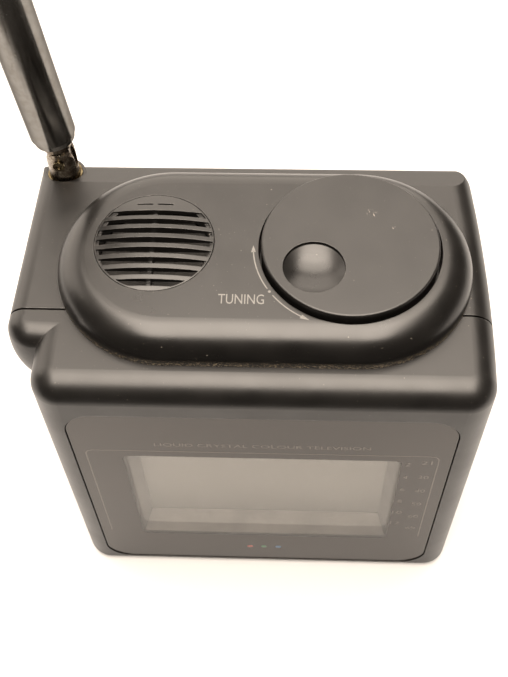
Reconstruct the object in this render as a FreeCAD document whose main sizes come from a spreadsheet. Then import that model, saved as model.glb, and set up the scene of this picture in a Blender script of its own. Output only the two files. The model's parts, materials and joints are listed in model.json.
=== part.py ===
"""Portable television with a tuning dial, a top speaker and a telescopic aerial.

Units are millimetres. The origin is the middle of the base, X runs to the set's
right as seen by the viewer, Y runs from the screen to the back, and Z is up.
"""
import FreeCAD, Part
import math
import os
from types import SimpleNamespace

import Sketcher

Vector = FreeCAD.Vector
Rotation = FreeCAD.Rotation

doc = FreeCAD.newDocument("portable_television")

# ---------------------------------------------------------------- driving sizes

SHEET_ROWS = [
    # case
    ("case_width", 96.0, "front of the case, side to side"),
    ("back_width", 92.4, "back of the case, side to side"),
    ("case_depth", 64.0, "front to back"),
    ("case_height", 91.5, "base to the flat top"),
    ("side_bow", 376.0, "radius of the gently bowed sides"),
    ("wall", 2.0, "thickness of the case walls"),
    ("split_y", -11.9, "parting line between the two shells"),
    ("split_gap", 0.45, "width of the parting groove"),
    ("upright_round", 6.2, "radius of the upright corners"),
    ("top_round", 5.5, "radius of the top edges"),
    ("base_round", 2.5, "radius of the base edges"),
    ("slope_start", 23.3, "where the top begins to fall away at the back"),
    ("slope_drop", 3.8, "fall of the back slope over its whole run"),
    ("slope_round", 3.4, "radius between the back slope and the back"),
    # shoulder on the left that holds the aerial
    ("shoulder_out", 54.5, "reach of the shoulder from the centre"),
    ("shoulder_front", -19.5, "front end of the shoulder"),
    ("shoulder_back", 31.8, "back end of the shoulder"),
    ("tail_round", 2.4, "radius of the upright edge behind the shoulder"),
    ("shoulder_taper", 2.0, "angle by which the shoulder draws in towards the back"),
    ("shoulder_round", 5.8, "plan radius of the shoulder's ends"),
    ("shoulder_bulge", 29.2, "radius of the shoulder's bulging side"),
    ("shoulder_mid", 84.0, "height where the shoulder is widest"),
    ("shoulder_root", 40.0, "where the shoulder is buried in the case"),
    # raised cover on top
    ("cover_straight", 39.8, "length between the cover's end centres"),
    ("cover_end", 24.3, "radius of the cover's ends"),
    ("cover_y", -1.0, "front-to-back place of the cover"),
    ("cover_top", 99.2, "height of the cover's flat top"),
    ("cover_round", 6.7, "radius of the cover's top edge"),
    ("cover_wall", 2.0, "thickness of the cover"),
    # screen
    ("panel_left", -41.75, "left edge of the front panel"),
    ("panel_right", 41.75, "right edge of the front panel"),
    ("panel_low", 2.6, "lower edge of the front panel"),
    ("panel_high", 81.5, "upper edge of the front panel"),
    ("panel_round", 7.0, "corner radius of the front panel"),
    ("panel_thick", 1.6, "thickness of the front panel"),
    ("panel_sunk", 0.25, "how far the panel sits below the rim"),
    ("screen_x", -0.1, "middle of the window and the picture, sideways"),
    ("screen_z", 41.1, "middle of the window and the picture, above the base"),
    ("picture_width", 58.5, "width of the picture"),
    ("picture_height", 43.9, "height of the picture"),
    ("picture_y", -25.1, "front face of the liquid crystal panel"),
    # tuning dial
    ("dial_x", 18.0, "dial centre, sideways"),
    ("dial_y", -0.4, "dial centre, front to back"),
    ("dial_round", 18.55, "radius of the dial"),
    ("dial_top", 101.1, "height of the dial's face"),
    ("dial_gap", 0.6, "gap round the dial"),
    ("dish_x", 10.45, "middle of the finger dish, sideways"),
    ("dish_y", -6.9, "middle of the finger dish, front to back"),
    ("dish_round", 6.4, "radius of the finger dish"),
    ("dish_step", 0.8, "upright edge of the finger dish"),
    ("dish_deep", 1.7, "depth of the finger dish below its edge"),
    # speaker
    ("speaker_x", -23.1, "speaker centre, sideways"),
    ("speaker_y", 0.4, "speaker centre, front to back"),
    ("grille_round", 12.6, "radius of the grille"),
    ("grille_rise", 1.4, "rise of the grille's dome"),
    ("slot_pitch", 2.54, "spacing of the grille slots"),
    ("slot_wide", 1.5, "width of a grille slot"),
    # aerial
    ("aerial_x", -46.9, "aerial axis, sideways"),
    ("aerial_y", 27.2, "aerial axis, front to back"),
    ("rivet_height", 96.3, "height of the aerial's tilting rivet"),
    ("tube_round", 5.1, "radius of the aerial's lowest tube"),
    ("tube_start", 4.9, "rivet to the lower end of the tube"),
    ("tube_long", 80.0, "length of the aerial's lowest tube"),
    ("tube_wall", 0.45, "wall of each aerial tube"),
    ("tube_step", 0.75, "difference in radius from one tube to the next"),
    # batteries and their door
    ("cell_round", 7.1, "radius of an AA cell"),
    ("cell_long", 49.0, "length of a cell's body"),
    ("cell_pitch", 14.7, "spacing of the cells"),
    ("cell_low", 9.2, "lower end of the cells"),
    ("door_half", 25.0, "half the width of the battery door"),
    ("door_high", 62.2, "upper edge of the battery door"),
    ("hinge_y", 30.4, "hinge line of the door, front to back"),
    ("hinge_z", 5.2, "hinge line of the door, above the base"),
    ("hinge_round", 1.6, "radius of the door's hinge barrel"),
    # thumb wheels on the right side
    ("wheel_x", 40.5, "axis of the thumb wheels"),
    ("wheel_round", 9.3, "radius of the thumb wheels"),
    ("wheel_y", 2.1, "front face of the thumb wheels"),
    ("wheel_thick", 3.2, "thickness of the thumb wheels"),
    ("volume_z", 62.0, "height of the volume wheel"),
    ("bright_z", 40.0, "height of the brightness wheel"),
    # screws
    ("boss_round", 3.6, "radius of a screw boss"),
    ("low_boss_x", 40.6, "lower screws, sideways"),
    ("low_boss_z", 8.5, "lower screws, above the base"),
    ("high_boss_x", 37.0, "upper screws, sideways"),
    ("high_boss_z", 83.5, "upper screws, above the base"),
]

sheet = doc.addObject("Spreadsheet::Sheet", "sizes")
for row, (alias, number, note) in enumerate(SHEET_ROWS, start=1):
    sheet.set(f"A{row}", note)
    sheet.set(f"B{row}", str(number))
    sheet.setAlias(f"B{row}", alias)
doc.recompute()


class Size:
    """A size that knows its number and the spreadsheet formula behind it."""

    def __init__(self, number, formula):
        self.number = float(number)
        self.formula = formula

    def __float__(self):
        return self.number

    def __neg__(self):
        return Size(-self.number, f"(-1 * {self.formula})")

    def __add__(self, other):
        other = as_size(other)
        return Size(self.number + other.number, f"({self.formula} + {other.formula})")

    def __sub__(self, other):
        other = as_size(other)
        return Size(self.number - other.number, f"({self.formula} - {other.formula})")

    def __mul__(self, other):
        other = as_size(other)
        return Size(self.number * other.number, f"({self.formula} * {other.formula})")

    def __truediv__(self, other):
        other = as_size(other)
        return Size(self.number / other.number, f"({self.formula} / {other.formula})")

    def __radd__(self, other):
        return as_size(other) + self

    def __rsub__(self, other):
        return as_size(other) - self

    def __rmul__(self, other):
        return as_size(other) * self


def as_size(value):
    """Turn a plain number into a Size; leave a Size as it is."""
    return value if isinstance(value, Size) else Size(value, f"({value:.6f})")


def root(size):
    """Square root of a Size."""
    return Size(math.sqrt(size.number), f"sqrt({size.formula})")


s = SimpleNamespace(**{alias: Size(number, f"sizes.{alias}") for alias, number, _ in SHEET_ROWS})


# ---------------------------------------------------------------- small helpers

NODES = []


def node(item):
    """Note an object as one of the finished sub-parts."""
    item.Label = item.Name
    NODES.append(item)
    return item


def bind(item, prop, size):
    item.setExpression(prop, as_size(size).formula)


def place(item, x=0, y=0, z=0):
    for axis, size in zip("xyz", (x, y, z)):
        bind(item, f"Placement.Base.{axis}", size)
    return item


def box(name, low, high):
    """Box between two opposite corners."""
    item = doc.addObject("Part::Box", name)
    for prop, start, end in zip(("Length", "Width", "Height"), low, high):
        bind(item, prop, as_size(end) - start)
    return place(item, *low)


TURNED_TO = {
    "X": Rotation(Vector(0, 1, 0), 90),
    "Y": Rotation(Vector(1, 0, 0), -90),
    "Z": Rotation(),
}


def along(item, axis, start):
    """Point a Z-built primitive along an axis and stand it at its start."""
    item.Placement = FreeCAD.Placement(Vector(), TURNED_TO[axis])
    return place(item, *start)


def cylinder(name, axis, start, radius, length):
    item = doc.addObject("Part::Cylinder", name)
    bind(item, "Radius", radius)
    bind(item, "Height", length)
    return along(item, axis, start)


def cone(name, axis, start, radius, end_radius, length):
    item = doc.addObject("Part::Cone", name)
    bind(item, "Radius1", radius)
    bind(item, "Radius2", end_radius)
    bind(item, "Height", length)
    return along(item, axis, start)


def fuse(name, *items):
    item = doc.addObject("Part::MultiFuse", name)
    item.Shapes = list(items)
    item.Refine = True
    return item


def cut(name, base, *tools):
    item = doc.addObject("Part::Cut", name)
    item.Base = base
    item.Tool = tools[0] if len(tools) == 1 else fuse(name + "_tools", *tools)
    item.Refine = True
    return item


def common(name, first, second):
    item = doc.addObject("Part::Common", name)
    item.Base = first
    item.Tool = second
    item.Refine = True
    return item


def group(name, items):
    """Several separate solids of one kind in one sub-part."""
    item = doc.addObject("Part::Compound", name)
    item.Links = list(items)
    return item


def tube(name, axis, start, outer, inner, length):
    sleeve = cylinder(name + "_outside", axis, start, outer, length)
    bore = cylinder(name + "_bore", axis, start, inner, length)
    return cut(name, sleeve, bore)


# ---------------------------------------------------------------- PartDesign helpers


def new_body(name):
    return doc.addObject("PartDesign::Body", name)


def sketch_on(body, plane, offset=0):
    """Empty sketch on one of the body's own origin planes."""
    sketch = body.newObject("Sketcher::SketchObject", body.Name + "_sketch")
    support = next(item for item in body.Origin.OriginFeatures if item.Role == plane)
    sketch.AttachmentSupport = [(support, "")]
    sketch.MapMode = "FlatFace"
    bind(sketch, "AttachmentOffset.Base.z", offset)
    return sketch


def fix(sketch, constraint, size):
    """Add a dimension to a sketch and tie it to its spreadsheet formula."""
    index = sketch.addConstraint(constraint)
    bind(sketch, f"Constraints[{index}]", size)


def pin(sketch, geometry, end, x, y):
    """Hold one end of a line or arc at a point of the sketch."""
    fix(sketch, Sketcher.Constraint("DistanceX", -1, 1, geometry, end, float(x)), x)
    fix(sketch, Sketcher.Constraint("DistanceY", -1, 1, geometry, end, float(y)), y)


def arc_between(start, end, radius, bulge):
    """Arc from start to end; bulge is +1 when it turns to the left, -1 to the right."""
    chord = end - start
    half = chord.Length / 2
    rise = math.sqrt(max(radius * radius - half * half, 0.0))
    left = Vector(-chord.y, chord.x, 0).normalize()
    centre = start + chord * 0.5 + left * rise * bulge
    first, last = (start, end) if bulge > 0 else (end, start)
    angles = [math.atan2(p.y - centre.y, p.x - centre.x) for p in (first, last)]
    if angles[1] < angles[0]:
        angles[1] += 2 * math.pi
    return Part.ArcOfCircle(Part.Circle(centre, Vector(0, 0, 1), radius), *angles)


def closed_profile(sketch, corners, arcs=None):
    """Draw a closed outline through the corners.

    arcs maps the index of a corner to the (radius, bulge) of the arc that leaves it;
    every other stretch is a straight line.
    """
    arcs = arcs or {}
    points = [Vector(float(x), float(y), 0) for x, y in corners]
    starts, ends = [], []
    for index, start in enumerate(points):
        end = points[(index + 1) % len(points)]
        if index in arcs:
            radius, bulge = arcs[index]
            sketch.addGeometry(arc_between(start, end, float(radius), bulge))
        else:
            bulge = 1
            sketch.addGeometry(Part.LineSegment(start, end))
        starts.append(1 if bulge > 0 else 2)
        ends.append(2 if bulge > 0 else 1)
    count = len(points)
    for index in range(count):
        after = (index + 1) % count
        joint = Sketcher.Constraint("Coincident", index, ends[index], after, starts[after])
        sketch.addConstraint(joint)
    for index, (x, y) in enumerate(corners):
        pin(sketch, index, starts[index], x, y)
    for index, (radius, _) in arcs.items():
        fix(sketch, Sketcher.Constraint("Radius", index, float(radius)), radius)
    return sketch


def rounded_rectangle(sketch, x0, y0, x1, y1, radius):
    corners = [
        (x0 + radius, y0), (x1 - radius, y0), (x1, y0 + radius), (x1, y1 - radius),
        (x1 - radius, y1), (x0 + radius, y1), (x0, y1 - radius), (x0, y0 + radius),
    ]
    return closed_profile(sketch, corners, {index: (radius, 1) for index in (1, 3, 5, 7)})


def stadium(sketch, half, radius):
    """Outline with two straight sides and round ends, centred on the sketch."""
    far, near = float(half), -float(half)
    reach = float(radius)
    upward = Vector(0, 0, 1)
    quarter = math.pi / 2
    right = Part.Circle(Vector(far, 0, 0), upward, reach)
    left = Part.Circle(Vector(near, 0, 0), upward, reach)
    sketch.addGeometry(Part.ArcOfCircle(right, -quarter, quarter))
    sketch.addGeometry(Part.LineSegment(Vector(far, reach, 0), Vector(near, reach, 0)))
    sketch.addGeometry(Part.ArcOfCircle(left, quarter, 3 * quarter))
    sketch.addGeometry(Part.LineSegment(Vector(near, -reach, 0), Vector(far, -reach, 0)))
    for index in range(4):
        sketch.addConstraint(Sketcher.Constraint("Tangent", index, 2, (index + 1) % 4, 1))
    sketch.addConstraint(Sketcher.Constraint("Equal", 0, 2))
    fix(sketch, Sketcher.Constraint("Radius", 0, reach), radius)
    for arc, place_x in ((0, half), (2, -half)):
        sketch.addConstraint(Sketcher.Constraint("PointOnObject", arc, 3, -1))
        fix(sketch, Sketcher.Constraint("DistanceX", -1, 1, arc, 3, float(place_x)), place_x)
    return sketch


def circle(sketch, x, y, radius):
    centre = Vector(float(x), float(y), 0)
    sketch.addGeometry(Part.Circle(centre, Vector(0, 0, 1), float(radius)))
    pin(sketch, 0, 3, x, y)
    fix(sketch, Sketcher.Constraint("Radius", 0, float(radius)), radius)
    return sketch


def pad(body, sketch, length, backwards=False):
    feature = body.newObject("PartDesign::Pad", body.Name + "_pad")
    feature.Profile = sketch
    feature.Reversed = backwards
    bind(feature, "Length", length)
    return feature


def revolve(body, sketch):
    """Turn a sketch all the way round its own upright axis."""
    feature = body.newObject("PartDesign::Revolution", body.Name + "_turn")
    feature.Profile = sketch
    feature.ReferenceAxis = (sketch, ["V_Axis"])
    feature.Angle = 360
    return feature


def round_edges(body, radius, wanted):
    """Fillet every edge of the body for which wanted(edge) is true."""
    doc.recompute()
    names = [f"Edge{i}" for i, edge in enumerate(body.Shape.Edges, start=1) if wanted(edge)]
    previous = body.Tip
    feature = body.newObject("PartDesign::Fillet", body.Name + "_fillet")
    feature.Base = (previous, names)
    bind(feature, "Radius", radius)
    doc.recompute()
    return feature


def is_upright(edge):
    box_ = edge.BoundBox
    return box_.XLength < 0.01 and box_.YLength < 0.01


def is_at_height(edge, height):
    box_ = edge.BoundBox
    return abs(box_.ZMin - float(height)) < 0.01 and abs(box_.ZMax - float(height)) < 0.01


# ---------------------------------------------------------------- form of the case


def shoulder_length():
    """Length of the shoulder behind its rounded front end."""
    return s.shoulder_back - s.shoulder_front - s.shoulder_round


def case_block(name, inset):
    """The case without its shoulder, shrunk on every side by the inset."""
    body = new_body(name)
    front_half = s.case_width / 2 - inset
    back_half = s.back_width / 2 - inset
    deep_half = s.case_depth / 2 - inset
    bow = s.side_bow - inset
    taper = math.sin(math.radians(float(s.shoulder_taper)))
    left_back = s.shoulder_out - s.shoulder_round - shoulder_length() * taper - inset
    corners = [
        (-front_half, -deep_half), (front_half, -deep_half),
        (back_half, deep_half), (-left_back, deep_half),
    ]
    outline = closed_profile(sketch_on(body, "XY_Plane", inset), corners, {1: (bow, 1)})
    pad(body, outline, s.case_height - 2 * as_size(inset))

    def behind_shoulder(edge):
        return is_upright(edge) and edge.CenterOfMass.x < 0 and edge.CenterOfMass.y > 0

    round_edges(body, s.upright_round - inset, lambda edge: is_upright(edge) and not behind_shoulder(edge))
    top = s.case_height - inset
    round_edges(body, s.top_round - inset, lambda edge: is_at_height(edge, top))
    if float(s.base_round) > float(inset):
        round_edges(body, s.base_round - inset, lambda edge: is_at_height(edge, inset))
    if float(s.tail_round) > float(inset):
        round_edges(body, s.tail_round - inset, behind_shoulder)
    return body


def bulge_profile(sketch, inset):
    """Half section of the shoulder, from its upright axis out to its bulging side."""
    bulge = s.shoulder_bulge - inset
    axis_to_centre = s.shoulder_bulge - s.shoulder_round
    top = s.case_height - inset
    rise = top - s.shoulder_mid
    reach_at_top = root(bulge * bulge - rise * rise) - axis_to_centre
    foot = s.shoulder_mid - root(bulge * bulge - axis_to_centre * axis_to_centre)
    corners = [(0, foot), (0, top), (-reach_at_top, top)]
    return closed_profile(sketch, corners, {2: (bulge, 1)}), foot, top


def shoulder(name, inset):
    """Rounded shoulder on the left, shrunk by the inset."""
    body = new_body(name)
    length = shoulder_length()
    buried = s.shoulder_out - s.shoulder_round - s.shoulder_root
    section, foot, top = bulge_profile(sketch_on(body, "XZ_Plane"), inset)
    revolve(body, section)
    pad(body, section, length - inset, backwards=True)
    core = sketch_on(body, "XY_Plane", foot)
    closed_profile(core, [(0, 0), (buried, 0), (buried, length - inset), (0, length - inset)])
    pad(body, core, top - foot)
    front_face, _, _ = bulge_profile(sketch_on(body, "YZ_Plane"), inset)
    pad(body, front_face, buried)
    inner = float(buried) - 0.01
    back = float(length - inset)
    round_edges(
        body,
        s.top_round - 1.2 - inset,
        lambda edge: is_at_height(edge, top) and edge.CenterOfMass.x < inner
        and edge.CenterOfMass.y < back - 0.01,
    )
    if float(s.tail_round) > float(inset):
        round_edges(
            body,
            s.tail_round - inset,
            lambda edge: edge.BoundBox.YMin > back - 0.01 and edge.CenterOfMass.x < -0.01
            and not is_at_height(edge, foot),
        )
    turn = Rotation(Vector(0, 0, 1), -float(s.shoulder_taper))
    body.Placement = FreeCAD.Placement(Vector(), turn)
    return place(body, s.shoulder_root * -1 - buried, s.shoulder_front + s.shoulder_round, 0)


def back_slope(name, inset):
    """Everything above the sloping rear top edge and behind the back, across the whole width."""
    run = s.case_depth / 2 - s.slope_start
    slant = root(run * run + s.slope_drop * s.slope_drop)
    level = run / slant
    fall = s.slope_drop / slant
    back = s.case_depth / 2 - inset
    top = s.case_height - inset
    start = s.slope_start + as_size(inset) * (level - 1) / fall
    corner = top - (back - start) * fall / level
    radius = s.slope_round - inset
    tangent = radius * (1 - fall) / level
    clear = as_size(12)
    corners = [
        (start, top), (back - tangent * level, corner + tangent * fall), (back, corner - tangent),
        (back, -clear), (back + clear, -clear), (back + clear, top + clear), (start, top + clear),
    ]
    body = new_body(name)
    profile = closed_profile(sketch_on(body, "YZ_Plane"), corners, {1: (radius, -1)})
    pad(body, profile, s.case_width * 2)
    return place(body, -s.case_width, 0, 0)


def case_form(name, inset):
    """Whole outside of the case, or its inside when inset by the wall."""
    block = case_block(name + "_block", inset)
    side = shoulder(name + "_shoulder", inset)
    joined = fuse(name + "_joined", block, side)
    return cut(name, joined, back_slope(name + "_slope", inset))


case_outside = case_form("case_outside", 0)
case_inside = case_form("case_inside", s.wall)
lip_inside = case_form("lip_inside", s.wall + 1.2)
case_walls = cut("case_walls", case_outside, case_inside)
front_joint = s.split_y - s.split_gap / 2
back_joint = s.split_y + s.split_gap / 2

SCREW_PLACES = [
    ("low_left", -s.low_boss_x, s.low_boss_z),
    ("low_right", s.low_boss_x, s.low_boss_z),
    ("high_left", -s.high_boss_x, s.high_boss_z),
    ("high_right", s.high_boss_x, s.high_boss_z),
]

PADS = [(-36, -22), (36, -22), (-36, 22), (36, 22)]
PAD_ROUND = 4.0
PAD_DEEP = 0.8


def pad_recesses(name):
    return [
        cylinder(f"{name}_pad_{i}", "Z", (x, y, -1), PAD_ROUND, PAD_DEEP + 1)
        for i, (x, y) in enumerate(PADS)
    ]


def stadium_solid(name, end_radius, low, high, edge_round=0):
    """Block with the plan shape of the raised cover."""
    body = new_body(name)
    outline = stadium(sketch_on(body, "XY_Plane"), s.cover_straight / 2, end_radius)
    pad(body, outline, high - low)
    if edge_round:
        round_edges(body, edge_round, lambda edge: is_at_height(edge, float(high) - float(low)))
    return place(body, 0, s.cover_y, low)


cover_opening = stadium_solid("cover_opening", s.cover_end - 3.1, s.case_height - 7, s.case_height + 3)


# ---------------------------------------------------------------- front shell


def front_shell():
    region = box("front_region", (-70, -40, -5), (70, front_joint, 110))
    walls = common("front_walls", case_walls, region)
    backing = box("front_backing", (-45, -30.2, 3), (45, -28.2, 86))
    bosses = [
        cylinder(f"front_boss_{name}", "Y", (x, -29, z), s.boss_round, front_joint + 29)
        for name, x, z in SCREW_PLACES
    ]
    pilots = [
        cylinder(f"front_pilot_{name}", "Y", (x, -27, z), 1.2, front_joint + 27)
        for name, x, z in SCREW_PLACES
    ]
    recess = new_body("panel_recess")
    gap = 0.25
    outline = rounded_rectangle(
        sketch_on(recess, "XZ_Plane"),
        s.panel_left - gap, s.panel_low - gap, s.panel_right + gap, s.panel_high + gap,
        s.panel_round + gap,
    )
    pad(recess, outline, 5)
    place(recess, 0, s.panel_sunk + s.panel_thick - s.case_depth / 2, 0)
    window = box(
        "window_opening",
        (s.screen_x - 32.75, -31, s.screen_z - 26.3), (s.screen_x + 32.75, -28, s.screen_z + 26.3),
    )
    solid = fuse("front_solid", walls, backing, *bosses)
    return node(cut("front_shell", solid, recess, window, cover_opening, *pilots, *pad_recesses("front")))


# ---------------------------------------------------------------- rear shell

JACKS = [("earphone_jack", 48.0, 1.75), ("video_jack", 35.0, 1.75), ("power_jack", 22.0, 2.75)]
JACK_Y = 8.0
WHEELS = [("volume", s.volume_z), ("bright", s.bright_z)]
POWER_SLOT = (18.0, 28.0)
BAND_SLOT = (12.0, 27.0)
VENT_COUNT = 5


def rear_shell():
    region = box("rear_region", (-70, back_joint, -5), (70, 40, 110))
    walls = common("rear_walls", case_walls, region)
    lip_region = box("lip_region", (-70, back_joint - 3, -5), (70, back_joint + 2.2, 110))
    lip = common("lip", cut("lip_walls", case_inside, lip_inside), lip_region)
    added = [walls, lip]
    removed = [cover_opening]
    for name, x, z in SCREW_PLACES:
        boss_long = 30.5 - back_joint
        added.append(cylinder(f"rear_boss_{name}", "Y", (x, back_joint, z), s.boss_round, boss_long))
        removed.append(cylinder(f"rear_bore_{name}", "Y", (x, back_joint - 1, z), 1.5, 20))
        removed.append(cylinder(f"rear_sink_{name}", "Y", (x, -4, z), 3.0, 40))
    for side in (-1, 1):
        inner = side * (s.door_half + 0.3)
        outer = side * (s.door_half + 3.5)
        low_x, high_x = (outer, inner) if side < 0 else (inner, outer)
        name = "left" if side < 0 else "right"
        added.append(box(f"hinge_lug_{name}", (low_x, 28.2, 1.5), (high_x, 30.5, s.hinge_z + 2)))
        removed.append(cylinder(f"hinge_hole_{name}", "X", (low_x - 0.5, s.hinge_y, s.hinge_z), 0.8, 4.2))
    half = s.door_half + 0.3
    clear = s.hinge_round + 0.3
    removed += [
        box("door_opening", (-half, 29, s.hinge_z), (half, 33, s.door_high + 0.3)),
        box("door_swing", (-half, s.hinge_y, s.hinge_z - clear), (half, 33, s.hinge_z)),
        cylinder("door_trough", "X", (-half, s.hinge_y, s.hinge_z), clear, 2 * half),
    ]
    for name, z in WHEELS:
        removed.append(box(
            f"{name}_slot",
            (44.5, s.wheel_y - 0.6, z - 8.4), (52, s.wheel_y + s.wheel_thick + 0.6, z + 8.4),
        ))
    removed.append(box("power_slot", (44, 10, POWER_SLOT[0]), (52, 14.4, POWER_SLOT[1])))
    removed.append(box("band_slot", (BAND_SLOT[0], 28, 71), (BAND_SLOT[1], 33, 75)))
    for name, z, _ in JACKS:
        removed.append(cylinder(f"{name}_hole", "X", (-52, JACK_Y, z), 3.6, 8))
    for index in range(VENT_COUNT):
        z = 66 + 3.2 * index
        removed.append(box(f"vent_{index}", (-30, 28, z), (2, 33, z + 1.5)))
    aerial_seat = cylinder("aerial_seat", "Z", (s.aerial_x, s.aerial_y, 76), 5.6, 15)
    added.append(common("aerial_seat_inside", aerial_seat, case_outside))
    added.append(cylinder("aerial_collar", "Z", (s.aerial_x, s.aerial_y, 86), 4.7, 3.8))
    removed.append(cylinder("aerial_hole", "Z", (s.aerial_x, s.aerial_y, 75), 4.0, 22))
    removed.append(box(
        "tag_slot",
        (s.aerial_x - 1.8, s.aerial_y - 8, 79), (s.aerial_x + 1.8, s.aerial_y - 3, 80.4),
    ))
    removed += pad_recesses("rear")
    return node(cut("rear_shell", fuse("rear_solid", *added), *removed))


# ---------------------------------------------------------------- raised cover

WELL_FLOOR = 91.8
WELL_FLOOR_TOP = 93.6
POSTS = [(-11.5, -10.0), (11.5, -10.0), (-11.5, 10.0), (11.5, 10.0)]


def top_cover():
    ceiling = s.cover_top - 2.2
    outside = stadium_solid("cover_outside", s.cover_end, s.case_height - 5, s.cover_top, s.cover_round)
    inside = stadium_solid(
        "cover_inside", s.cover_end - s.cover_wall, s.case_height - 6, ceiling,
        s.cover_round - s.cover_wall,
    )
    skin = cut("cover_skin", outside, inside, case_outside)
    rim_round = s.cover_end - 3.3
    rim = cut(
        "cover_rim",
        stadium_solid("rim_outside", rim_round, s.case_height - 3, s.case_height + 1),
        stadium_solid("rim_inside", rim_round - 1.4, s.case_height - 4, s.case_height + 2),
    )
    web = cut(
        "cover_web",
        stadium_solid("web_outside", s.cover_end - 1, s.case_height, s.case_height + 1.5),
        stadium_solid("web_inside", rim_round - 1.4, s.case_height - 1, s.case_height + 3),
    )
    well_round = s.dial_round + s.dial_gap
    well_deep = s.cover_top - WELL_FLOOR - 1.4
    well = cylinder("well_wall", "Z", (s.dial_x, s.dial_y, WELL_FLOOR), well_round + 1.3, well_deep)
    seat = cylinder("grille_seat", "Z", (s.speaker_x, s.speaker_y, 94.5), s.grille_round + 1.8, 3)
    posts = [
        cylinder(f"board_post_{i}", "Z", (s.dial_x + x, s.dial_y + y, 83.6), 2.2, WELL_FLOOR - 83.4)
        for i, (x, y) in enumerate(POSTS)
    ]
    removed = [
        cylinder("well_space", "Z", (s.dial_x, s.dial_y, WELL_FLOOR_TOP), well_round, 20),
        cylinder("shaft_hole", "Z", (s.dial_x, s.dial_y, 80), 3.05, 20),
        cylinder("grille_hole", "Z", (s.speaker_x, s.speaker_y, 95.7), s.grille_round + 0.12, 20),
        cylinder("sound_hole", "Z", (s.speaker_x, s.speaker_y, 90), s.grille_round - 0.7, 20),
    ]
    removed += [
        cylinder(f"post_pilot_{i}", "Z", (s.dial_x + x, s.dial_y + y, 83), 0.9, 6)
        for i, (x, y) in enumerate(POSTS)
    ]
    return node(cut("top_cover", fuse("cover_solid", skin, rim, web, well, seat, *posts), *removed))


def speaker_grille():
    """Shallow dome with eight stepped slots, two short slits and a rib underneath."""
    foot = 95.7
    ledge = 98.7
    middle = (s.speaker_x, s.speaker_y)
    dome_top = s.cover_top + s.grille_rise
    dome_round = (s.grille_round * s.grille_round + s.grille_rise * s.grille_rise) / (2 * s.grille_rise)
    ball = doc.addObject("Part::Sphere", "grille_ball")
    bind(ball, "Radius", dome_round)
    place(ball, *middle, dome_top - dome_round)
    disc = cylinder("grille_disc", "Z", (*middle, foot), s.grille_round, 6)
    dome = common("grille_dome", disc, ball)
    bars = []
    for index in range(8):
        y = s.speaker_y + 7.05 - index * s.slot_pitch
        bars.append(box(
            f"slot_{index}",
            (s.speaker_x - 13, y - s.slot_wide / 2, ledge), (s.speaker_x + 13, y + s.slot_wide / 2, 103),
        ))
    reach = cylinder("slot_reach", "Z", (*middle, ledge), s.grille_round - 0.3, 10)
    slots = common("grille_slots", fuse("slot_bars", *bars), reach)
    slits = [
        box(
            f"slit_{i}",
            (s.speaker_x + x, s.speaker_y + 9.5, ledge - 1),
            (s.speaker_x + x + 3.3, s.speaker_y + 9.9, 103),
        )
        for i, x in enumerate((-4.3, 0.1))
    ]
    hollow = cylinder(
        "grille_hollow", "Z",
        (s.speaker_x, s.speaker_y - 0.4, foot - 1), s.grille_round - 0.9, ledge - foot + 1,
    )
    rib = box(
        "grille_rib",
        (s.speaker_x - 0.85, s.speaker_y - 12, foot + 0.4), (s.speaker_x + 0.05, s.speaker_y + 11.5, ledge),
    )
    pierced = cut("grille_pierced", dome, slots, hollow, *slits)
    return node(fuse("speaker_grille", pierced, rib))


# ---------------------------------------------------------------- speaker


def turned(name, x, y, z, corners):
    """Solid of revolution about an upright axis, from a half outline of (radius, height)."""
    body = new_body(name)
    revolve(body, closed_profile(sketch_on(body, "XZ_Plane"), corners))
    return place(body, x, y, z)


def speaker():
    at = (s.speaker_x, s.speaker_y, 0)
    node(turned("speaker_basket", *at, [
        (0, 87.2), (8.6, 87.2), (12.9, 92.9), (14.2, 92.9), (14.2, 94.4),
        (12.2, 94.4), (12.2, 93.6), (8.0, 88.0), (0, 88.0),
    ]))
    node(turned("speaker_cone", *at, [
        (0, 90.6), (3.4, 90.3), (3.6, 89.6), (4.2, 89.6), (10.8, 93.5), (11.8, 93.7),
        (11.8, 94.0), (10.7, 93.9), (4.2, 90.2), (3.4, 91.0), (0, 91.4),
    ]))
    node(turned("speaker_magnet", *at, [
        (0, 80.5), (5.5, 80.5), (5.5, 81.5), (8.5, 81.5),
        (8.5, 86.2), (7.2, 86.2), (7.2, 87.15), (0, 87.15),
    ]))


# ---------------------------------------------------------------- tuning dial

SPRING_ROUND = 4.1
SPRING_OPENING = 37.0
SPRING_WIRE = 0.33


def dial_spring():
    """Open ring of wire round the shaft with a leg on each side of the lever's peg."""
    height = 88.45
    coil = doc.addObject("Part::Torus", "spring_coil")
    coil.Radius1 = SPRING_ROUND
    coil.Radius2 = SPRING_WIRE
    coil.Angle3 = 360 - SPRING_OPENING
    coil.Placement = FreeCAD.Placement(
        Vector(), Rotation(Vector(0, 0, 1), 90 + SPRING_OPENING / 2)
    )
    place(coil, s.dial_x, s.dial_y, height)
    pieces = [coil]
    half = math.radians(SPRING_OPENING / 2)
    for side in (-1, 1):
        name = "left" if side < 0 else "right"
        end = (
            s.dial_x + side * SPRING_ROUND * math.sin(half),
            s.dial_y + SPRING_ROUND * math.cos(half),
            height,
        )
        bend = doc.addObject("Part::Sphere", f"spring_bend_{name}")
        bend.Radius = SPRING_WIRE + 0.03
        place(bend, *end)
        pieces += [bend, cylinder(f"spring_leg_{name}", "Y", end, SPRING_WIRE, 1.7)]
    return node(fuse("dial_spring", *pieces))


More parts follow.
